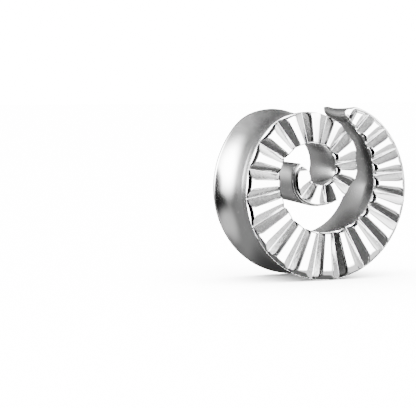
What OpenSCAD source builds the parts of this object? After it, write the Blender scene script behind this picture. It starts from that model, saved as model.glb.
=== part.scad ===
// Spiral saddle plug for a stretched ear lobe, cast and polished in one piece.
// It stands on its two flares as it does by itself: front face towards -Y, barrel axis along Y.

/* [Barrel] */
// Diameter over the flares
flare_d = 24.2; // [20:0.1:30]
// Length of the barrel from the front rim to the rear rim
barrel_l = 10; // [8:0.1:14]
// How far the waist lies inside the flares
waist_dip = 1.0; // [0.4:0.1:1.2]
// Width of the flat land on each rim, along the barrel
rim_land = 0.5; // [0.3:0.05:0.8]

/* [Front face] */
// Height of the petals over the front rim
petal_h = 0.6; // [0.3:0.05:0.9]
// Width of the bare rim outside the petals
rim_w = 0.45; // [0.3:0.05:0.7]
// Width of the bare rim inside the petals
inner_rim_w = 0.2; // [0.15:0.05:0.4]
// Extra width of the sloped rim under the lowest petals
bevel_w = 0.65; // [0:0.05:0.9]
// Share of the pitch that the flat top of a petal takes
petal_share = 0.36; // [0.25:0.01:0.5]
// Drop from a petal's top to the sloped side of its groove
step_h = 0.2; // [0.1:0.05:0.3]
// How far the inner turn's face lies behind the front rim
dish = 0.4; // [0:0.1:0.8]

/* [Inside] */
// How much wider the tunnel is at the rear rim than at the front
tunnel_flare = 1.3; // [0:0.1:1.4]
// How far the rear rim stands out past the front one at the tail and where the band turns in
rear_spread = 0.28; // [0:0.02:0.4]
// How far the inner turn's outside draws in towards the rear
inner_taper = 0.5; // [0:0.05:0.7]

/* [Ends] */
// Length over which the tail is rounded off, in grooves
tail_round = 0.3; // [0.2:0.05:0.5]
// Length over which the inner end is rounded off, in grooves
inner_round = 0.3; // [0.2:0.05:0.6]
// How far along the band the tail's end lies at the rear rim, in grooves
tail_slant = 0.66; // [0:0.02:0.8]
// How far along the band the inner end lies at the rear rim, in grooves
end_slant = 0.06; // [0:0.02:0.2]

/* [Hidden] */

flare_r = flare_d / 2;
drawn_r = 12.1;                  // flare radius that the table is drawn for
k = flare_r / drawn_r;
eye = [-0.5, 2.6];               // eye of the spiral from the barrel's axis, X and Z
front_y = -(barrel_l - petal_h) / 2;
corner = 0.15;                   // rounding of the rim's edges
valley_h = 0.05;                 // height of a groove's valley over the rim
petal_lean = 0.06;               // how far a petal's end leans in over its height
wall_curve = 1.6;                // power of the tunnel wall's curve from front to rear
tail_waist = 0.2;                // share of the waist's dip left at the tail's end
bare_end = 0.11;                 // bare rim at each end of the band, in grooves
blunt = 0.012;                   // keeps the first and last sections from closing up, in grooves

// Distance from the eye to the flare circle at angle a, clockwise from the top
function flare(a) =
    let (d = eye[0] * sin(a) + eye[1] * cos(a))
    -d + sqrt(d * d + drawn_r * drawn_r - eye[0] * eye[0] - eye[1] * eye[1]);

// One row for each groove, with a guide row past each end of the band:
// angle about the eye, outer edge from the eye, inner edge from the eye, skew of the inner end
GROOVES = [
    [10,    flare(10) - 1.3, 7.8,  0],
    [26,    flare(26) - 0.45, 7.45, 0],
    [43,    flare(43) - 0.1, 7.15,  0],
    [60,    flare(60), 7.2,   2],
    [76,    flare(76), 7.35,  5],
    [92,    flare(92), 7.65,  4],
    [107.5, flare(107.5), 8.1,  3],
    [123.5, flare(123.5), 8.3,  2],
    [139,   flare(139), 8.4,  2],
    [154.5, flare(154.5), 8.35, 2],
    [170.5, flare(170.5), 8.3,  0],
    [187,   flare(187), 8.25, -2],
    [202.5, flare(202.5), 8.15, -3],
    [218.5, flare(218.5), 7.9, -4],
    [236,   flare(236), 7.5,  -5],
    [253,   flare(253), 7.15, -5],
    [272,   flare(272), 6.75, -5],
    [291.5, flare(291.5), 6.15, -6],
    [313,   9.68, 5.2,  -8],
    [336,   8.45, 4.3,  -10],
    [364,   7.2,  3.45, -11],
    [394.5, 6.1,  2.7,  -10],
    [436,   5.2,  2.1,  -6],
    [480,   4.75, 1.95, 0],
    [532,   4.75, 1.9,  0],
    [582,   5.2,  2.2,  2],
    [630,   4.4,  2.3,  3],
    [680,   4.2,  2.9,  3]
];
first_q = -0.2;                  // place of the tail's end, counted in grooves
last_q = 25.27;                  // place of the inner end

function mix(a, b, t) = a + (b - a) * t;
function clamp(x) = min(1, max(0, x));
function ease(a, b, x) = let (t = clamp((x - a) / (b - a))) t * t * (3 - 2 * t);

// Smooth value of one column at place q, where q is 1 at the first groove
function column(c, q) =
    let (i = floor(q), t = q - i,
         p0 = GROOVES[max(0, i)][c], p1 = GROOVES[i + 1][c], p2 = GROOVES[i + 2][c],
         p3 = GROOVES[min(len(GROOVES) - 1, i + 3)][c])
    p1 + 0.5 * t * (p2 - p0 + t * (2 * p0 - 5 * p1 + 4 * p2 - p3 + t * (3 * (p1 - p2) + p3 - p0)));

function ray(a) = [sin(a), cos(a)];

// Height of the face over the rim at a distance f from the nearest groove, in pitches
groove_half = (1 - petal_share) / 2;
step_run = 0.025;
function relief(f) =
    let (side_h = petal_h - step_h)
    f >= groove_half ? petal_h
    : f >= groove_half - step_run
        ? mix(side_h, petal_h, (f - groove_half + step_run) / step_run)
        : mix(valley_h, side_h, f / (groove_half - step_run));

// Places of the sections: each groove has a valley, two sloped sides and two steps
OFFSETS = [-groove_half, -groove_half + step_run, 0, groove_half - step_run, groove_half];
tail_steps = [0, 0.04, 0.12, 0.25, 0.5];
end_steps = [0.7, 0.5, 0.3, 0.2, 0.12, 0.04, 0];
PLACES = concat(
    [for (s = tail_steps) first_q + s],
    [for (g = [1:24], f = OFFSETS) g + f],
    [for (s = end_steps) last_q - s]
);

// Share of the full width left at place q, rounded off at both ends
function roundness(s, run) = s >= run ? 1 : sqrt(1 - pow(1 - (s + blunt) / (run + blunt), 2));
function fullness(q, depth) =
    roundness(q - first_q, tail_round * (1 - 0.6 * depth)) * roundness(last_q - q, inner_round);

// Height of the relief, which stops short of both ends
function face_h(q) =
    let (g = round(q), f = abs(q - g), end = min(q - first_q, last_q - q))
    end < bare_end ? 0 : (g < 1 || g > 24) ? petal_h : relief(f);

function waist(q) = waist_dip * mix(tail_waist, 1, ease(0, 2.5, q)) * (1 - ease(16.5, 20, q));
function sunk(q) = dish * ease(17, 21, q);
function bevel(q) = bevel_w * ease(5.5, 8, q) * (1 - ease(9.8, 11.8, q));
function spread(q) =
    rear_spread * (1 - ease(0, 2, q) + ease(15.5, 17.5, q) * (1 - ease(18, 20, q)))
    - inner_taper * ease(20, 23, q);

// Outline of the section at place q, from the rear rim round the outside to the front:
// distance in from the outer edge, and depth behind the front rim
SADDLE = [0.95, 0.78, 0.5, 0.22, 0.05];
WALL = [0.3, 0.6, 0.85];
function section(q, w) =
    let (h = face_h(q), y0 = sunk(q), dip = waist(q), b = rim_w + bevel(q), wi = w - inner_rim_w)
    concat(
        [[corner, barrel_l], [0, barrel_l - corner], [0, barrel_l - rim_land]],
        [for (t = SADDLE) [dip * 4 * t * (1 - t), mix(y0 + rim_land, barrel_l - rim_land, t)]],
        [[0, y0 + rim_land], [0, y0 + corner], [corner, y0], [rim_w, y0]],
        [[b + petal_lean, y0 - h], [wi - petal_lean, y0 - h]],
        [[wi, y0], [w - corner / 2, y0]],
        [for (t = WALL) [w - tunnel_flare * pow(t, wall_curve), mix(y0, barrel_l, t)]],
        [[w - tunnel_flare, barrel_l - corner], [w - tunnel_flare - corner, barrel_l]]
    );

// Distance of the band's middle from its outer edge, at a depth from 0 to 1
function middle(w, depth) = (w - tunnel_flare * pow(depth, wall_curve)) / 2;

// The section at place q set into the band. Both ends lie further along the band at the rear.
function ring(q) =
    let (w = column(1, q) - column(2, q),
         back = tail_slant * (1 - ease(0, 2.2, q)) + end_slant * ease(23.5, 25, q))
    [for (p = section(q, w))
        let (depth = clamp(p[1] / barrel_l), at = q + back * depth,
             a = column(0, at), v = mix(middle(w, depth), p[0], fullness(q, depth)) / w,
             out = ray(a) * (column(1, at) + spread(q) * depth),
             in = ray(a + column(3, at)) * column(2, at),
             xz = mix(out, in, v) + eye)
        [k * xz[0], front_y + p[1], k * xz[1] + flare_r]];

module spiral_plug() {
    rings = [for (q = PLACES) ring(q)];
    n = len(rings);
    m = len(rings[0]);
    tail_mid = [for (i = [0:2]) (rings[0][3][i] + rings[0][m - 4][i]) / 2];
    end_mid = [for (i = [0:2]) (rings[n - 1][3][i] + rings[n - 1][m - 4][i]) / 2];
    points = concat([for (r = rings, p = r) p], [tail_mid, end_mid]);
    sides = [for (i = [0:n - 2], j = [0:m - 1], half = [0, 1])
        let (a = i * m + j, b = i * m + (j + 1) % m, c = a + m, d = b + m)
        half == 0 ? [a, d, b] : [a, c, d]];
    caps = concat(
        [for (j = [0:m - 1]) [n * m, j, (j + 1) % m]],
        [for (j = [0:m - 1]) [n * m + 1, (n - 1) * m + (j + 1) % m, (n - 1) * m + j]]);
    color("silver") polyhedron(points, concat(sides, caps), convexity = 12);
}

spiral_plug();
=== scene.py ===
import math

import bpy
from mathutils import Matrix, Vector


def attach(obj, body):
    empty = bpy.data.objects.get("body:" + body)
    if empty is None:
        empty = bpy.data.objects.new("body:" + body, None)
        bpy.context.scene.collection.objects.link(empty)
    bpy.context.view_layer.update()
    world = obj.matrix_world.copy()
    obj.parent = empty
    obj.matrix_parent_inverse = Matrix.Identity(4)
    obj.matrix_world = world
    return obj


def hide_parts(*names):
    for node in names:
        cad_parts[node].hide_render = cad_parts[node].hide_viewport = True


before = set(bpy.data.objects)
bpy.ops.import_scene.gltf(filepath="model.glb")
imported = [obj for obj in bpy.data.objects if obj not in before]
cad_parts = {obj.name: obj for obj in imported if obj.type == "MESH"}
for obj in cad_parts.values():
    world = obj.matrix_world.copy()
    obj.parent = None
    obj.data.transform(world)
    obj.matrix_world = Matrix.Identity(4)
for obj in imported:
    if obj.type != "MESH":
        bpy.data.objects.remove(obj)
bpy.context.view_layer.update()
print("frame loaded")

mm = 0.001


def deselectAll():
    if bpy.context.mode != "OBJECT":
        bpy.ops.object.mode_set(mode="OBJECT")
    bpy.ops.object.select_all(action="DESELECT")


def mix(a, b, t):
    return a + (b - a) * t


def clamp(x):
    return min(1.0, max(0.0, x))


def ease(a, b, x):
    t = clamp((x - a) / (b - a))
    return t * t * (3 - 2 * t)


# The plug: one band wound into a spiral. Sizes are in millimetres, places along
# the band are counted in grooves, and a pitch is the way from groove to groove.
plug = {
    "eye": (-0.5, 2.6),        # eye of the spiral from the barrel's axis, X and Z
    "frontY": -4.7,
    "axisZ": 12.1,
    "firstPlace": -0.2,
    "lastPlace": 25.27,
    "flareRadius": 12.08,      # a hair under the solid's, which has flats
    "barrelLength": 9.998,
    "waistDip": 1.0,
    "waistAtTail": 0.2,        # share of the dip at the tail
    "rearLand": 0.5,           # flat land on the rear rim, along the barrel
    "dish": 0.4,               # how much deeper the inner turn's face lies
    "tunnelFlare": 1.3,        # how much narrower the band is at the rear
    "wallCurve": 1.6,          # power of the tunnel wall's lean
    "tunnelWaist": 0.25,       # how far the wall swells into the tunnel halfway
    "rearSpread": 0.28,        # how far the outer side moves out towards the rear, in two stretches
    "innerTaper": 0.5,         # and how far it moves in on the inner turn
    "tailSlant": 0.66,         # how much further along the band its rear lies at the two ends, in pitches
    "hookSlant": 0.06,
    "tailRound": 0.5,          # length of the rounding of the band's two ends, in pitches
    "hookRound": 0.4,
    "tailShorter": 0.6,        # share by which the tail's rounding is shorter at the rear
    "bluntEnd": 0.004,         # what the rounding leaves of the very end, in pitches
    # rims
    "edgeRadius": 0.1,         # rounding of the rear rim's edge
    "cornerShare": 0.3,        # how far the middle of a rounded corner lies in
    "sharpEdge": 0.06,         # rounding of the front rim: left, right, left of the bottom and at the hook
    "rightEdge": 0.15,
    "lowEdge": 0.24,
    "hookEdge": 0.42,
    "leastRim": 0.08,          # bare rim outside a petal, at least, on the left and on the right
    "wideRim": 0.52,
    "rightRim": 0.2,
    "rimGap": 0.02,            # least distance from the rim's rounding: most of the band, hook, bottom
    "hookGap": 0.1,
    "rolledGap": 0.01,
    "innerRim": 0.42,          # bare rim inside a petal
    "lipDrop": 0.12,           # slope of it inside the first petals
    "lipMiddle": 0.4,          # a share of its width, where it begins to slope
    "lipEdge": (0.05, 0.45),   # distance from its edge where the slope ends, and the same as a share at most
    "lipRound": (0.015, 0.02),  # rounding of its edge, in and down
    "bevelWidth": 1.6,         # sloped rim under the lowest petals
    "rightBevel": 0.43,        # share of it on the right, left of the bottom and at the tail
    "leftBevel": 0.31,
    "tailBevel": 0.35,
    "rollTurn": 40,            # how far the rim turns before the bottom petals roll on from it, in degrees
    # petals
    "shapes": "ssssssssdrrrpppppeessssr",
    "petalHeight": 0.59,
    "petalShare": 0.36,        # flat top's share of the pitch
    "hookSlope": 0.3,          # run over which the last petal slopes away, in pitches
    "hookLow": 0.5,            # share of the height left there
    "wallLean": 0.01,          # lean of a petal's end walls, and what a dark gap adds to it
    "darkLean": 0.03,
    "endCurve": 3.0,           # power of the curve of a petal's rounded ends
    "brokenEdge": (0.1, 0.96),  # shares of a square end's width and height that its wall takes
    "faceLead": 0.02,          # from the top of an end wall to the face
    "fullFace": 2.2,           # narrower faces have shorter tips
    "fullRoll": 0.5,           # and narrower rolls have finer steps
    "leastFace": 0.3,          # what the drawn-in corners leave of a face
    "tailCorner": 0.4,         # how far the first and the last petal draw in at their ends
    "tailCornerRun": 0.12,     # and over what length, in pitches
    "hookCorner": 0.9,
    "hookCornerRun": 0.4,
    "hookInset": 0.75,         # share of the last petal's corner that its inner side has
    "bareTail": 0.36,          # bare rim at the two ends of the band, in pitches
    "bareHook": 0.12,
    # grooves
    "outerTurn": 0.8,          # length over which a groove closes to its outer and inner tip
    "innerTurn": 0.4,
    "leafStart": 0.12,         # gap between the rim and a groove's closed tip, at the bottom
    "leafOpening": 0.06,
    "scallopCurve": 0.8,       # power of the rim's line round a petal's outer end
    "innerScallop": (0.12, 0.34),
    "squeezedTop": 0.45,       # share of the height where a groove has closed
    "squeezeStart": 0.02,
    # painted shade, where shade and dark reflections fall
    "wallNear": 0.9,           # share of the groove's side left without painted shade beside a dark wall
    "innerDark": 0.4,          # what is left of the painted shade towards the inner tip
    "unshadedCorner": 0.15,       # how far in on its face the painted shade on the first petal's end begins
    "tipDarkEnd": 0.3,         # how far in the painted dark line round a closed tip goes
    "gapHeight": 0.5,          # share of the petal's height from which the shade painted in a gap is full
    "gapFade": 0.8,            # how much lighter it is at the hook's tip
    "gapFoot": (0.07, 0.2),    # reach of it on the inner rim, and the same as a share at most
    "edgeLineReach": 0.1,      # of the thin line of painted shade on the inner edge, and its share in a groove
    "edgeLineInGroove": 0.1,
    "hookShade": 0.6,          # painted shade on the hook's flange, dulling its reflections
    "keelShade": 0.95,         # painted shade under the tail's horn, standing in for a dark reflection
    "keelMiddle": 0.6,         # where it lies, how far it reaches and how fast it ends
    "keelReach": 0.45,
    "keelCurve": 4,
    "wallShade": 0.6,          # painted shade on the outer tunnel wall, standing in for a dark reflection, with the depths where it fades
    "wallShadeDepth": (0.1, 0.22),
    "eyeShade": 0.5,           # painted shade above the eye, standing in for a dark reflection
    "eyeShadeDepth": (0.2, 0.7),
    # stretches of the band, as places: where they begin, are full, begin to end and have ended;
    # those with two places only begin or only end
    "spans": {
        "waist": (0, 2.5, 16.5, 20),
        "swell": (0.5, 3, 22, 24.5),
        "dish": (17, 21),
        "tailSpread": (0, 2),
        "turnSpread": (15.5, 17.5, 18, 20),
        "innerTaper": (20, 23),
        "tailSlant": (0, 2.2),
        "hookSlant": (23.5, 25),
        "right": (6, 8),
        "bottom": (5.5, 8, 9.8, 11.4),
        "leftOfBottom": (8, 10, 12.3, 12.75),
        "left": (12.4, 12.85, 17, 18),
        "tailBevel": (0.2, 0.9),
        "lowEdge": (8, 9.5, 12.2, 12.7),
        "hookEdge": (21.5, 24),
        "hookGap": (23, 24),
        "rolled": (6.5, 8.5, 12.25, 12.7),
        "innerRimRight": (0.3, 2, 8, 9.5),
        "innerRimEye": (19, 20.5, 22, 23),
        "lip": (2, 3.5),
        "hookDark": (23.5, 24),
        "hookTip": (24.8, 25.1),
        "hookShade": (22.5, 24, 24.8, 25.1),
        "edgeShadeLine": (7.5, 9, 18.3, 19),
        "wallShade": (0.2, 0.6, 4, 6.5),
        "eyeShade": (18.6, 20, 20.6, 22),
    },
}
halfPitch = 0.5
halfGroove = halfPitch * (1 - plug["petalShare"])
grooveCount = len(plug["shapes"])

# Kinds of groove: soft, deep, round, enclosed and pointed. Each has the share of its width left at the
# outer tip and at the inner tip, half the valley's width in pitches, the swell of its sides, how much shade
# is painted beside its walls and at the inner tip, the side where it is painted (0 for both), and the lines
# from the wall's foot to the petal's top, as distance and drop.
closedGroove = {
    "tip": 0.15, "inner": 0.15, "valley": 0.005, "bulge": 0.0, "paintedShade": 1.0, "innerPaintedShade": 0.0, "side": -1,
}
grooveShapes = {
    "s": {
        "tip": 0.75, "inner": 0.15, "valley": 0.007, "bulge": 0.03,
        "paintedShade": 0.0, "innerPaintedShade": 0.0, "side": 0,
        "wall": [(0.255, 0.12), (0.28, 0.083), (0.305, 0.051), (0.335, 0.025), (0.365, 0.009),
                 (0.395, 0.001)],
    },
    "d": {
        **closedGroove,
        "wall": [(0.262, 0.14), (0.268, 0.11), (0.294, 0.03), (0.304, 0.015), (0.32, 0.005), (0.36, 0.0)],
    },
    "r": {
        **closedGroove,
        "wall": [(0.262, 0.45), (0.268, 0.41), (0.294, 0.05), (0.304, 0.02), (0.32, 0.005), (0.36, 0.0)],
    },
    "e": {
        **closedGroove, "inner": 0.4, "innerPaintedShade": 1.0, "side": 1,
        "wall": [(0.262, 0.36), (0.268, 0.32), (0.294, 0.05), (0.304, 0.02), (0.32, 0.005), (0.36, 0.0)],
    },
    "p": {
        "tip": 0.08, "inner": 0.15, "valley": 0.008, "bulge": 0.05,
        "paintedShade": 0.2, "innerPaintedShade": 0.0, "side": 0,
        "wall": [(0.3, 0.16), (0.308, 0.12), (0.318, 0.05), (0.328, 0.02), (0.345, 0.005), (0.37, 0.0)],
    },
}


def flareAt(angle):            # from the eye to the flare's circle
    a = math.radians(angle)
    ex, ez = plug["eye"]
    d = ex * math.sin(a) + ez * math.cos(a)
    return -d + math.sqrt(d * d + plug["flareRadius"] ** 2 - ex * ex - ez * ez)


# Where the grooves lie, from place 0: angle about the eye, outer edge, inner edge and skew of the inner end.
# On the outer turn the outer edge is given by how much it is less than the flare's circle.
outerTurnRows = [
    (10, 1.3, 7.8, 0), (26, 0.45, 7.45, 0), (43, 0.1, 7.15, 0), (60, 0, 7.2, 2), (76, 0, 7.35, 5),
    (92, 0, 7.65, 4), (107.5, 0, 8.1, 3), (123.5, 0, 8.3, 2), (139, 0, 8.4, 2), (154.5, 0, 8.35, 2),
    (170.5, 0, 8.3, 0), (187, 0, 8.25, -2), (202.5, 0, 8.15, -3), (218.5, 0, 7.9, -4), (236, 0, 7.5, -5),
    (253, 0, 7.15, -5), (272, 0, 6.75, -5), (291.5, 0, 6.15, -6),
]
innerTurnRows = [
    (313, 9.68, 5.2, -8), (336, 8.45, 4.3, -10), (364, 7.2, 3.45, -11), (394.5, 6.1, 2.7, -10),
    (436, 5.2, 2.1, -6), (480, 4.75, 1.95, 0), (532, 4.75, 1.9, 0), (582, 5.2, 2.2, 2),
    (630, 4.4, 2.3, 3), (680, 4.2, 2.9, 3),
]
grooveRows = [(angle, flareAt(angle) - less, inner, skew) for angle, less, inner, skew in outerTurnRows]
grooveRows += innerTurnRows


def bandValue(column, place):  # a smooth curve through one column of the rows
    i = int(math.floor(place))
    t = place - i
    last = len(grooveRows) - 1
    p0, p1, p2, p3 = (grooveRows[min(last, max(0, i + n))][column] for n in range(4))
    return p1 + 0.5 * t * (p2 - p0 + t * (2 * p0 - 5 * p1 + 4 * p2 - p3 + t * (3 * (p1 - p2) + p3 - p0)))


def bandWidth(place):
    return bandValue(1, place) - bandValue(2, place)


def rising(name, place):       # 0 before a stretch of the band, 1 where it is full
    return ease(*plug["spans"][name][:2], place)


def falling(name, place):      # 1 until a stretch begins to end, 0 after it
    return 1 - ease(*plug["spans"][name][-2:], place)


def within(name, place):
    return rising(name, place) * falling(name, place)


def arch(size, t):             # 0 at both ends, the size in the middle
    return size * 4 * t * (1 - t)


def roundness(s, run):         # height of a quarter circle at a distance from its start
    return 1.0 if s >= run else math.sqrt(max(0.0, 1 - (1 - max(0.0, s) / run) ** 2))


def fullness(place, depth):    # share of the full width left near the two ends of the band
    fromTail = place - plug["firstPlace"] + plug["bluntEnd"]
    toHook = plug["lastPlace"] - place + plug["bluntEnd"]
    tail = roundness(fromTail, plug["tailRound"] * (1 - plug["tailShorter"] * depth))
    return tail * roundness(toHook, plug["hookRound"])


def waistAt(place):
    return plug["waistDip"] * mix(plug["waistAtTail"], 1, rising("waist", place)) * falling("waist", place)


def spreadAt(place):
    spread = plug["rearSpread"] * (falling("tailSpread", place) + within("turnSpread", place))
    return spread - plug["innerTaper"] * rising("innerTaper", place)


def bevelAt(place):
    atTail = plug["tailBevel"] * falling("tailBevel", place)
    onRight = plug["rightBevel"] * falling("right", place)
    besideBottom = plug["leftBevel"] * within("leftOfBottom", place)
    return plug["bevelWidth"] * max(within("bottom", place), atTail, onRight, besideBottom)


def outerRimAt(place):
    least = plug["leastRim"]
    left = (plug["wideRim"] - least) * within("left", place)
    return least + left + (plug["rightRim"] - least) * falling("right", place)


def edgeAt(place):             # rounding of the front rim's outer edge
    sharp = plug["sharpEdge"]
    right = (plug["rightEdge"] - sharp) * falling("right", place)
    low = (plug["lowEdge"] - sharp) * within("lowEdge", place)
    return sharp + right + low + (plug["hookEdge"] - sharp) * rising("hookEdge", place)


def innerRimAt(place):
    wide = within("innerRimRight", place) + within("innerRimEye", place)
    return mix(plug["leastRim"], plug["innerRim"], wide)


def endInset(place):           # how far the first and last petals draw in at their ends
    toTail = place - plug["firstPlace"] - plug["bareTail"]
    toHook = plug["lastPlace"] - plug["bareHook"] - place
    atTail = plug["tailCorner"] * (1 - roundness(toTail, plug["tailCornerRun"]))
    return atTail + plug["hookCorner"] * (1 - roundness(toHook, plug["hookCornerRun"]))


def bandPoint(place, inward, y):
    depth = clamp(y / plug["barrelLength"])
    back = plug["tailSlant"] * falling("tailSlant", place) + plug["hookSlant"] * rising("hookSlant", place)
    at = place + back * depth
    width = bandWidth(place)
    middle = (width - plug["tunnelFlare"] * depth ** plug["wallCurve"]) / 2
    v = mix(middle, inward, fullness(place, depth)) / width
    a = math.radians(bandValue(0, at))
    skewed = a + math.radians(bandValue(3, at))
    outer = bandValue(1, at) + spreadAt(place) * depth
    inner = bandValue(2, at)
    ex, ez = plug["eye"]
    x = mix(math.sin(a) * outer, math.sin(skewed) * inner, v) + ex
    z = mix(math.cos(a) * outer, math.cos(skewed) * inner, v) + ez
    return Vector((x, plug["frontY"] + y, z + plug["axisZ"])) * mm


# Lines across half a groove, between the valley and the wall and then on the petal's top
sideSteps = [0.1, 0.25, 0.42, 0.6, 0.78, 0.95]
topLines = [(0.41, 0.0), (0.45, 0.0)]


def grooveLines(shape):        # distance in pitches, and kind or drop
    valley, foot = shape["valley"], shape["wall"][0][0]
    lines = [(0.0, "floor"), (valley, "floor")]
    lines += [(mix(valley, foot, t), "side") for t in sideSteps]
    lines += [(foot, "foot")] + shape["wall"][1:]
    return lines + topLines


# Lines over the end walls of the first and the last petal: distance from the wall, and kind or drop
# the second line is bare rim where shade is painted beside the first petal's end
tailWall = [
    (0.24, "bare"), (0.2, "shadedRim"), (0.015, "end"), (-0.03, 0.22), (-0.06, 0.12), (-0.1, 0.05),
    (-0.15, 0.015), (-0.2, 0.0),
]
hookWall = [(0.03, "bare"), (0.015, "end"), (-0.02, 0.2), (-0.03, 0.06), (-0.045, 0.015), (-0.07, 0.0)]
# lines at the first petal's end that take painted shade
darkEndKinds = ("end", "shadedRim", tailWall[3][1])
endSteps = 12                  # steps over the rounding of an end of the band
endReach = 0.999               # share of the rounding that they cover
wallGap = 0.01                 # what they keep from the lines over the wall
firstTops = [0.38, 0.44]       # lines on the flat tops of the first and the last petal
lastTops = [24.6, 24.75, 24.88]


def endStations(start, run, bare, inward, wall):
    stations = [(start + inward * (bare - off), 0, kind) for off, kind in wall]
    for n in range(endSteps + 1):
        s = run * endReach * (1 - math.cos(math.radians(90 * n / endSteps)))
        if s < bare - wall[0][0] - wallGap or s > bare - wall[-1][0]:
            stations.append((start + inward * s, 0, "bare" if s < bare else 0.0))
    return stations


def bandStations():            # groove or place, distance from the groove's middle, and kind or drop
    stations = endStations(plug["firstPlace"], plug["tailRound"], plug["bareTail"], 1, tailWall)
    stations += [(place, 0, 0.0) for place in firstTops]
    for g in range(1, grooveCount + 1):
        lines = grooveLines(grooveShapes[plug["shapes"][g - 1]])
        stations += [(g, -f, kind) for f, kind in reversed(lines[1:])]
        stations += [(g, f, kind) for f, kind in lines]
        stations.append((g, halfPitch, 0.0))
    stations += [(place, 0, 0.0) for place in lastTops]
    stations += endStations(plug["lastPlace"], plug["hookRound"], plug["bareHook"], -1, hookWall)
    return sorted(stations, key=lambda st: st[0] + st[1])


# Steps across the band, as shares unless said otherwise
saddleSteps = [0.985, 0.95, 0.9, 0.84, 0.77, 0.7, 0.62, 0.54, 0.46, 0.38, 0.3, 0.23, 0.16, 0.1, 0.05, 0.015]
rimSteps = 4
marginSteps = [(0.3, 0.16), (0.6, 0.07)]   # from rim to petal, and millimetres from the petal at most
wallSteps = [0.06, 0.16, 0.28, 0.42, 0.56, 0.7, 0.84, 0.96]
squareSteps = [0.012, 0.03, 0.05, 0.07, 0.088, 0.1, 0.55, 0.98]
rollSteps = [0.08, 0.14, 0.19, 0.28]       # millimetres, then shares of the rest of the roll
rollShares = [0.2, 0.45, 0.7, 0.92]
outerSteps = [0, 0.05, 0.11, 0.2, 0.32, 0.46, 0.62, 0.8]     # millimetres on a full face
middleShares = [0.15, 0.32, 0.5, 0.68, 0.85]
innerSteps = [0.4, 0.27, 0.16, 0.08, 0]    # millimetres on a full face
innerWallSteps = [0.97, 0.5, 0.1, 0.05]
tunnelSteps = [0.015, 0.05, 0.12, 0.2, 0.3, 0.4, 0.5, 0.6, 0.7, 0.8, 0.88, 0.94]


def closing(t, run, share):    # share of a groove's half width at a distance from its end
    return mix(share, 1, roundness(t, run))


def roundEnd(t):               # share of a petal's height across its end, rounded
    return 1 - (1 - clamp(t)) ** plug["endCurve"]


def squareEnd(t):              # the same where the end is a wall with a broken edge
    wall, top = plug["brokenEdge"]
    return top * t / wall if t < wall else mix(top, 1, clamp((t - wall) / (1 - wall)))


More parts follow.
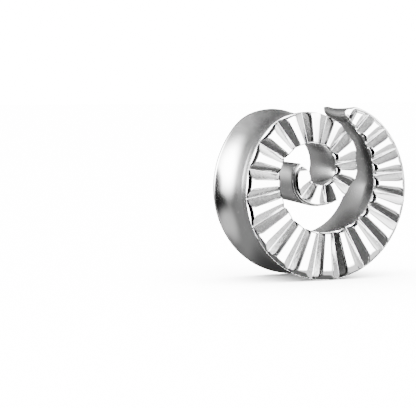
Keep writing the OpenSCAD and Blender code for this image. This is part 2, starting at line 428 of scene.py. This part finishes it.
def sectionPoints(station):
    g, f, kind = station
    place = g + f
    width = bandWidth(place)
    least, lean, lead = plug["leastRim"], plug["wallLean"], plug["faceLead"]
    r, length, flare = plug["edgeRadius"], plug["barrelLength"], plug["tunnelFlare"]
    h = plug["petalHeight"] * mix(plug["hookLow"], 1, ease(0, plug["hookSlope"], plug["lastPlace"] - place))
    y0 = plug["dish"] * rising("dish", place)
    edge, dip = edgeAt(place), waistAt(place)
    front, rear = y0 + edge, length - plug["rearLand"]
    inGroove = 1 <= g <= grooveCount and g == int(g)
    shape = grooveShapes[plug["shapes"][int(g) - 1 if inGroove else 0]]
    foot, footDrop = shape["wall"][0]
    byTail = place < grooveCount / 2
    rough = 1.0 if kind in ("floor", "side", "foot") else 0.0
    # each point: place, distance in from the outer edge, depth, how sanded it is, how much shade is painted
    # on it and how satin it is
    points = []

    def add(inward, y, sanded=0.0, at=place, paintedShade=0.0, satin=0.0):
        points.append((at, inward, y, sanded, paintedShade, satin))

    def warped(share):         # the place of this line where the groove is a share of its width
        if not inGroove:
            return place
        off = abs(f)
        narrowed = off * share
        if off > halfGroove:
            narrowed = mix(halfGroove * share, halfPitch, (off - halfGroove) / (halfPitch - halfGroove))
        return g + math.copysign(narrowed, f)

    def offAt(at):
        return abs(at - g) if inGroove else halfPitch

    def heightAt(at):
        if kind in ("bare", "shadedRim", "end", "floor"):
            return 0.0
        off = offAt(at)
        if kind in ("side", "foot"):
            t = clamp((off - shape["valley"]) / (foot - shape["valley"]))
            return (h - footDrop) * t + shape["bulge"] * math.sin(math.pi * t)
        return mix(plug["squeezedTop"], 1, ease(plug["squeezeStart"], halfGroove, off)) * h - kind

    def scallop(at):
        return math.sin(math.radians(clamp(offAt(at) / halfPitch) * 90)) ** plug["scallopCurve"]

    def innerScallop(at):
        return ease(*plug["innerScallop"], offAt(at))

    # where shade is painted, from 0 to 1
    wallKinds = ["foot"] + [drop for off, drop in shape["wall"][1:3]]
    atWall = kind in wallKinds or (kind == "side" and abs(f) > plug["wallNear"] * foot)
    dark = shape["paintedShade"] if inGroove and atWall and shape["side"] * f >= 0 else 0.0
    darkEnd = 1.0 if kind in darkEndKinds and byTail else 0.0
    darkOutside = clamp(within("left", place) + rising("hookDark", place))
    darkInside = clamp((innerRimAt(place) - least) / (plug["innerRim"] - least))
    hookShade = plug["hookShade"] * within("hookShade", place)
    # a thin line of painted shade along the inner edge
    edgeShadeLine = mix(1, plug["edgeLineInGroove"], rough) * within("edgeShadeLine", place)

    # rear rim, saddle and the front rim's rounding
    add(r, length)
    add(r * plug["cornerShare"], length - r * plug["cornerShare"])
    add(0, length - r)
    add(0, rear)
    for t in saddleSteps:
        add(arch(dip, t), mix(front, rear, t))
    rolled = within("rolled", place)
    turnEnd = mix(90, plug["rollTurn"], rolled)
    # painted shade on the rim's rounding at the hook, dulling its reflections
    for n in range(rimSteps + 1):
        turn = math.radians(turnEnd * n / rimSteps)
        rimIn, rimY = edge * (1 - math.cos(turn)), y0 + edge * (1 - math.sin(turn))
        add(rimIn, rimY, paintedShade=hookShade)

    # the end walls' feet and tops, outside and inside
    tip, innerTip = warped(closing(0, plug["outerTurn"], shape["tip"])), warped(shape["inner"])
    rimGap = mix(plug["rimGap"], plug["hookGap"], rising("hookGap", place))
    base = max(mix(least, outerRimAt(place), scallop(tip)), rimIn + rimGap)
    base = mix(base, rimIn + plug["rolledGap"], rolled)
    top = base + lean + bevelAt(tip) * scallop(tip)
    top += plug["darkLean"] * darkOutside * scallop(tip)
    top = mix(top, base + lean + bevelAt(place), rolled)
    bareWidth = mix(least, innerRimAt(place), innerScallop(innerTip))
    innerBase = width - bareWidth
    innerTop = innerBase - lean - plug["darkLean"] * darkInside * innerScallop(innerTip)
    run = top - base
    innerShare = 1.0 if byTail else plug["hookInset"]
    inset = min(endInset(place), max(0.0, innerTop - top - plug["leastFace"]) / (1 + innerShare))
    base, top = base + inset, top + inset
    innerBase, innerTop = innerBase - inset * innerShare, innerTop - inset * innerShare
    scale = min(1.0, (innerTop - top) / plug["fullFace"])
    tipAt = mix(run, plug["leafStart"], rolled)

    # rim beside the petal, its end and its face
    # painted shade in the gap where a petal's outer end meets the rim
    gapShade = darkOutside * clamp(heightAt(tip) / (plug["gapHeight"] * h))
    gapShade *= 1 - plug["gapFade"] * rising("hookTip", place)
    marginDark = [hookShade, gapShade * falling("hookDark", place)]
    for (share, most), paintedShade in zip(marginSteps, marginDark):
        add(max(mix(rimIn, base, share), base - most), rimY, at=tip, paintedShade=paintedShade)
    add(base, rimY, at=tip, paintedShade=gapShade)

    def outward(x, paintedShade=0.0):    # a point at a distance in from the petal's outer edge
        at = warped(closing(max(0.0, x - tipAt), plug["outerTurn"] * scale, shape["tip"]))
        crown = mix(roundEnd(x / run), squareEnd(x / run), darkOutside)
        opening = ease(plug["leafStart"], plug["leafStart"] + plug["leafOpening"], x)
        own, over = heightAt(at), crown * h
        height = own * crown
        if rough:
            height = mix(height, mix(over, min(own, over), opening), rolled)
        opened = mix(1 if x >= run else 0, opening, rolled)
        # painted dark line round the closed tip of a rolled petal
        inTip = shape["side"] * f > 0 and plug["leafStart"] < x < plug["tipDarkEnd"]
        tipDark = rough * rolled * shape["paintedShade"] if inTip else 0.0
        add(base + x, mix(rimY, y0, crown) - height, rough * opened, at, max(paintedShade, tipDark, dark * opened))

    rollFit = min(1.0, run / plug["fullRoll"])
    lastRoll = rollSteps[-1] * rollFit
    rolls = [step * rollFit for step in rollSteps] + [mix(lastRoll, run, share) for share in rollShares]
    for t, square, roll in zip(wallSteps, squareSteps, rolls):
        outward(mix(mix(t * run, square * run, darkOutside), roll, rolled), gapShade)
    for t in outerSteps:
        outward(run + lead + t * scale, darkEnd if t > plug["unshadedCorner"] else 0.0)
    start, end = top + lead + outerSteps[-1] * scale, innerTop - lead - innerSteps[0] * scale
    for share in middleShares:
        paintedShade = max(darkEnd, dark * mix(1, plug["innerDark"], share))
        add(mix(start, end, share), y0 - heightAt(place), rough, paintedShade=paintedShade)
    for t in innerSteps:
        at = warped(closing(t * scale, plug["innerTurn"] * scale, shape["inner"]))
        line = edgeShadeLine if t < plug["edgeLineReach"] else 0.0
        paintedShade = max(darkEnd, dark * shape["innerPaintedShade"], line)
        add(innerTop - lead - t * scale, y0 - heightAt(at), rough, at, paintedShade)

    # inner end wall, bare rim and its lip
    # painted shade in the gap at the petal's inner end
    gapShade = darkInside * clamp(heightAt(innerTip) / (plug["gapHeight"] * h)) * innerScallop(innerTip)
    for t in innerWallSteps:
        rise = heightAt(innerTip) * mix(roundEnd(t), squareEnd(t), darkInside)
        line = edgeShadeLine if t > 1 - plug["edgeLineReach"] else 0.0
        add(mix(innerBase, innerTop, t), y0 - rise, at=innerTip, paintedShade=max(gapShade, line))
    add(innerBase, y0, at=innerTip, paintedShade=gapShade)
    reach, most = plug["gapFoot"]
    add(innerBase + min(reach, bareWidth * most), y0, at=innerTip, paintedShade=gapShade)
    lip = y0 + plug["lipDrop"] * falling("lip", place)
    add(innerBase + bareWidth * plug["lipMiddle"], y0, at=mix(innerTip, place, 0.5))
    reach, most = plug["lipEdge"]
    add(width - min(reach, bareWidth * most), lip)
    roundIn, roundDown = plug["lipRound"]
    add(width - roundIn, lip + roundDown)

    # tunnel wall and rear
    swell = plug["tunnelWaist"] * within("swell", place)
    # painted shade under the horn, behind the outer wall's front edge and above the eye, standing in for
    # dark reflections
    for t in tunnelSteps:
        tailShare = (place - plug["firstPlace"]) / (plug["tailRound"] * (1 - plug["tailShorter"] * t))
        off = (tailShare - plug["keelMiddle"]) / plug["keelReach"]
        keel = plug["keelShade"] * max(0.0, 1 - off ** plug["keelCurve"])
        wall = plug["wallShade"] * (1 - ease(*plug["wallShadeDepth"], t)) * within("wallShade", place)
        eye = plug["eyeShade"] * (1 - ease(*plug["eyeShadeDepth"], t)) * within("eyeShade", place)
        inward = width - flare * t ** plug["wallCurve"] + arch(swell, t)
        add(inward, mix(lip, length, t), paintedShade=max(keel, wall, eye), satin=1.0)
    add(width - flare, length - r, satin=1.0)
    add(width - flare - r * plug["cornerShare"], length - r * plug["cornerShare"])
    add(width - flare - r, length)
    add(width / 2 - flare / 2, length)
    return points


mergeDistance = 2e-7           # metres
smoothAngle = 33               # degrees
uvScale = {"place": 0.26, "point": 0.02, "inward": 0.1}
uvFirstPoint = 40              # points up to it, from the rear to the front rim, share one line


def buildPlug():
    stations = bandStations()
    sections = [sectionPoints(st) for st in stations]
    along, around = len(sections), len(sections[0])
    deselectAll()
    bpy.ops.mesh.primitive_grid_add(x_subdivisions=along - 1, y_subdivisions=around, size=1)
    band = bpy.context.object
    band.name = "spiralBand"
    mesh = band.data
    mesh.name = "spiralBand"
    # sanded and satin mark grain and roughness; the middle mark is shade painted into the colour
    marks = [mesh.attributes.new(name, "FLOAT", "POINT") for name in ("sanded", "paintedShade", "satin")]
    uvOfVertex = {}
    for vert in mesh.vertices:
        i = round((vert.co.x + 0.5) * (along - 1))
        j = round((vert.co.y + 0.5) * around)
        place, inward, y, *values = sections[i][j % around]
        for mark, value in zip(marks, values):
            mark.data[vert.index].value = value
        across = (j if j > uvFirstPoint else 0) * uvScale["point"] + inward * uvScale["inward"]
        uvOfVertex[vert.index] = (place * uvScale["place"], across)
        vert.co = bandPoint(place, inward, y)
    for loop in mesh.loops:
        mesh.uv_layers.active.data[loop.index].uv = uvOfVertex[loop.vertex_index]
    bpy.ops.object.mode_set(mode="EDIT")
    bpy.ops.mesh.select_all(action="SELECT")
    bpy.ops.mesh.remove_doubles(threshold=mergeDistance)
    bpy.ops.mesh.select_all(action="SELECT")
    bpy.ops.mesh.fill_holes(sides=0)
    bpy.ops.mesh.select_all(action="DESELECT")
    bpy.ops.mesh.select_mode(type="FACE")
    bpy.ops.mesh.select_face_by_sides(number=4, type="GREATER")
    bpy.ops.mesh.poke()
    bpy.ops.mesh.select_all(action="SELECT")
    bpy.ops.mesh.normals_make_consistent(inside=False)
    bpy.ops.object.mode_set(mode="OBJECT")
    bpy.ops.object.shade_smooth_by_angle(angle=math.radians(smoothAngle))
    print("band:", along, "stations,", len(mesh.polygons), "faces")
    return band


spiralBand = buildPlug()


# Steel: mirror polish, with the grooves left grainy from the casting
steel = {
    "dullest": 0.78,           # reflectance, from blotch to blotch
    "brightest": 0.84,
    "mottleDark": 0.45,        # the same in the grooves
    "mottleLight": 0.95,
    "paintedShadeLeft": 0.1,        # share of it left where shade is painted in full
    "polished": (0.12, 0.015),  # roughness, and how far it strays either way
    "satin": (0.15, 0.04),
    "groove": (0.17, 0.04),
    "grainSize": 0.34,         # millimetres
    "grainDetail": 3,
    "blotchScale": 900,        # to the metre
    "blotchDetail": 2,
    "bumpStrength": 0.35,
    "bumpDepth": 0.03,         # millimetres
}


def addNode(tree, kind, x, y, **settings):
    node = tree.nodes.new(kind)
    node.location = (x, y)
    for name, value in settings.items():
        setattr(node, name, value)
    return node


def makeGrainGroup():
    group = bpy.data.node_groups.new("castGrain", "ShaderNodeTree")
    size = group.interface.new_socket("Size", in_out="INPUT", socket_type="NodeSocketFloat")
    size.default_value = steel["grainSize"]
    group.interface.new_socket("Grain", in_out="OUTPUT", socket_type="NodeSocketFloat")
    group.interface.new_socket("Blotch", in_out="OUTPUT", socket_type="NodeSocketFloat")
    given = addNode(group, "NodeGroupInput", -700, 0)
    coords = addNode(group, "ShaderNodeTexCoord", -700, 200)
    perMm = addNode(group, "ShaderNodeMath", -500, 0, operation="DIVIDE")
    perMm.inputs[0].default_value = 1 / mm
    fine = addNode(group, "ShaderNodeTexNoise", -250, 150)
    fine.inputs["Detail"].default_value = steel["grainDetail"]
    broad = addNode(group, "ShaderNodeTexNoise", -250, -150)
    broad.inputs["Scale"].default_value = steel["blotchScale"]
    broad.inputs["Detail"].default_value = steel["blotchDetail"]
    out = addNode(group, "NodeGroupOutput", 50, 0)
    link = group.links.new
    link(given.outputs["Size"], perMm.inputs[1])
    link(perMm.outputs[0], fine.inputs["Scale"])
    link(coords.outputs["Object"], fine.inputs["Vector"])
    link(coords.outputs["Object"], broad.inputs["Vector"])
    link(fine.outputs["Fac"], out.inputs["Grain"])
    link(broad.outputs["Fac"], out.inputs["Blotch"])
    return group


def makeSteel():
    material = bpy.data.materials.new("polishedSteel")
    material.use_nodes = True
    tree = material.node_tree
    tree.nodes.clear()
    link = tree.links.new
    shader = addNode(tree, "ShaderNodeBsdfPrincipled", 500, 0)
    out = addNode(tree, "ShaderNodeOutputMaterial", 800, 0)
    link(shader.outputs[0], out.inputs["Surface"])
    shader.inputs["Metallic"].default_value = 1.0
    group = addNode(tree, "ShaderNodeGroup", -600, 0, node_tree=makeGrainGroup())
    group.inputs["Size"].default_value = steel["grainSize"]
    grain, blotch = group.outputs["Grain"], group.outputs["Blotch"]

    def painted(name, y):
        return addNode(tree, "ShaderNodeAttribute", -600, y, attribute_name=name).outputs["Fac"]

    def ranged(value, low, high, y):
        node = addNode(tree, "ShaderNodeMapRange", -300, y)
        node.inputs["To Min"].default_value = low
        node.inputs["To Max"].default_value = high
        link(value, node.inputs["Value"])
        return node.outputs[0]

    def roughness(kind, value, y):
        middle, stray = steel[kind]
        return ranged(value, middle - stray, middle + stray, y)

    def blended(factor, first, second, x, y):
        node = addNode(tree, "ShaderNodeMix", x, y, data_type="FLOAT")
        link(factor, node.inputs["Factor"])
        link(first, node.inputs[2])
        link(second, node.inputs[3])
        return node.outputs[0]

    def multiplied(first, second, x, y):
        node = addNode(tree, "ShaderNodeMath", x, y, operation="MULTIPLY")
        link(first, node.inputs[0])
        link(second, node.inputs[1])
        return node.outputs[0]

    sanded, satin, paintedShade = painted("sanded", 300), painted("satin", -300), painted("paintedShade", 500)
    smooth = ranged(blotch, steel["dullest"], steel["brightest"], 250)
    mottled = ranged(grain, steel["mottleDark"], steel["mottleLight"], 400)
    reflectance = blended(sanded, smooth, mottled, -50, 300)
    # painted shade: the middle mark darkens the base colour where shade and dark reflections fall
    shade = ranged(paintedShade, 1, steel["paintedShadeLeft"], 550)
    link(multiplied(reflectance, shade, 200, 350), shader.inputs["Base Color"])
    groove = roughness("groove", grain, 0)
    outside = blended(satin, roughness("polished", blotch, -250), roughness("satin", grain, -500), -50, -250)
    link(blended(sanded, outside, groove, 150, 0), shader.inputs["Roughness"])
    bump = addNode(tree, "ShaderNodeBump", 250, -300)
    bump.inputs["Strength"].default_value = steel["bumpStrength"]
    bump.inputs["Distance"].default_value = steel["bumpDepth"] * mm
    link(multiplied(grain, sanded, 0, -300), bump.inputs["Height"])
    link(bump.outputs[0], shader.inputs["Normal"])
    return material


spiralBand.data.materials.append(makeSteel())
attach(spiralBand, "root")
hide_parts("spiral_plug")
print("steel assigned")


# Studio: a white tent round the plug, and a pale floor
studio = {
    "backdrop": 24.0,          # what the camera sees
    "sideLight": 2.0,          # light on the floor from the sides and from above
    "topLight": 42.0,
    "topFrom": 0.3,            # height on the sphere where the light from above begins
    "floorSize": 3.0,
    "floorGrey": 0.9,
    "floorRoughness": 0.8,
    "tent": -2.0,              # brightness in the plug's reflections, in stops, as in the zones
    # azimuth from the front towards +X, elevation, inner and outer radius in degrees, stops
    "zones": [
        ("rightHigh", 79, 24, 1, 53, 3.2),
        ("rightLow", 59, -41, 24, 53, 1.1),
        ("front", -21, 9, 24, 31, 1.2),
        ("highFront", 20, 20, 8, 11, -1.0),
        ("lowFront", -23, -39, 39, 42, -2.0),
        ("frontPanel", 25, -5, 6, 19, 4.4),
        ("farRight", 92, 2, 4, 36, 0.5),
        ("lowRight", 8, -53, 4, 11, -4.3),
        ("underPanel", 25, -28, 11, 14, 0.8),
        ("leftTop", -126, 22, 24, 43, -0.2),
        ("leftBox", -131, 16, 1, 32, 4.6),
        ("rearBand", -167, 6, 1, 21, 2.3),
        ("rearDim", 148, 15, 3, 72, -1.4),
        ("leftGap", -101, -1, 9, 21, -3.5),
        ("leftLine", -107, -32, 18, 30, -6.0),
        ("leftLineEnd", -171, -32, 16, 37, -1.5),
        ("leftLow", -129, -34, 3, 23, 0.1),
        ("rearLow", 139, -42, 1, 40, -4.1),
        ("rearRight", 158, 38, 1, 30, -4.0),
        ("floorGlow", 25, -80, 28, 40, -2.2),
        ("cameraSide", -62, -6, 26, 34, -5.0),
        ("camera", -25, -5, 9, 15, -5.0),
    ],
}


def makeFloor():
    deselectAll()
    bpy.ops.mesh.primitive_plane_add(size=studio["floorSize"], location=(0, 0, 0))
    floor = bpy.context.object
    floor.name = "floor"
    material = bpy.data.materials.new("paleFloor")
    material.use_nodes = True
    shader = material.node_tree.nodes["Principled BSDF"]
    grey = studio["floorGrey"]
    shader.inputs["Base Color"].default_value = (grey, grey, grey, 1)
    shader.inputs["Roughness"].default_value = studio["floorRoughness"]
    floor.data.materials.append(material)
    floor.visible_glossy = False


def makeTent():
    world = bpy.data.worlds.new("tent")
    bpy.context.scene.world = world
    world.use_nodes = True
    tree = world.node_tree
    tree.nodes.clear()
    link = tree.links.new
    coords = addNode(tree, "ShaderNodeTexCoord", -1400, 0)
    x, column = -1200, 200
    value = None               # each zone is mixed over the ones before it
    for name, azimuth, elevation, inner, outer, brightness in studio["zones"]:
        a, e = math.radians(azimuth), math.radians(elevation)
        toward = addNode(tree, "ShaderNodeVectorMath", x, -200, operation="DOT_PRODUCT", label=name)
        toward.inputs[1].default_value = (math.sin(a) * math.cos(e), -math.cos(a) * math.cos(e), math.sin(e))
        link(coords.outputs["Generated"], toward.inputs[0])
        mask = addNode(tree, "ShaderNodeMapRange", x, -400, interpolation_type="SMOOTHSTEP")
        mask.inputs["From Min"].default_value = math.cos(math.radians(outer))
        mask.inputs["From Max"].default_value = math.cos(math.radians(inner))
        link(toward.outputs["Value"], mask.inputs["Value"])
        blend = addNode(tree, "ShaderNodeMix", x, 0, data_type="FLOAT")
        blend.inputs[2].default_value = studio["tent"]
        blend.inputs[3].default_value = brightness
        link(mask.outputs[0], blend.inputs["Factor"])
        if value is not None:
            link(value, blend.inputs[2])
        value = blend.outputs[0]
        x += column
    seen = addNode(tree, "ShaderNodeLightPath", x, 300)
    height = addNode(tree, "ShaderNodeSeparateXYZ", x - column, 500)
    link(coords.outputs["Generated"], height.inputs[0])
    overhead = addNode(tree, "ShaderNodeMapRange", x, 500)
    overhead.inputs["From Min"].default_value = studio["topFrom"]
    overhead.inputs["To Min"].default_value = studio["sideLight"]
    overhead.inputs["To Max"].default_value = studio["topLight"]
    link(height.outputs["Z"], overhead.inputs["Value"])
    seenBack = addNode(tree, "ShaderNodeMix", x, 700, data_type="FLOAT")
    seenBack.inputs[3].default_value = studio["backdrop"]
    link(seen.outputs["Is Camera Ray"], seenBack.inputs["Factor"])
    link(overhead.outputs[0], seenBack.inputs[2])
    stops = addNode(tree, "ShaderNodeMath", x, 150, operation="POWER")
    stops.inputs[0].default_value = 2
    link(value, stops.inputs[1])
    glossy = addNode(tree, "ShaderNodeMix", x, 0, data_type="FLOAT")
    link(seen.outputs["Is Glossy Ray"], glossy.inputs["Factor"])
    link(seenBack.outputs[0], glossy.inputs[2])
    link(stops.outputs[0], glossy.inputs[3])
    background = addNode(tree, "ShaderNodeBackground", x + column, 0)
    link(glossy.outputs[0], background.inputs["Strength"])
    out = addNode(tree, "ShaderNodeOutputWorld", x + 2 * column, 0)
    link(background.outputs[0], out.inputs["Surface"])


makeFloor()
makeTent()
print("studio lit")

camera = {
    "place": (-116.020, -213.676, 26.981),     # millimetres
    "toward": (0.42535, 0.90230, -0.07020),
    "lens": 155.77,
    "sensor": 36,
    "clip": (0.01, 20),        # metres
}


def makeCamera():
    data = bpy.data.cameras.new("camera")
    data.lens = camera["lens"]
    data.sensor_width = camera["sensor"]
    data.clip_start, data.clip_end = camera["clip"]
    obj = bpy.data.objects.new("camera", data)
    bpy.context.scene.collection.objects.link(obj)
    obj.location = Vector(camera["place"]) * mm
    obj.rotation_euler = Vector(camera["toward"]).to_track_quat("-Z", "Y").to_euler()
    bpy.context.scene.camera = obj


makeCamera()
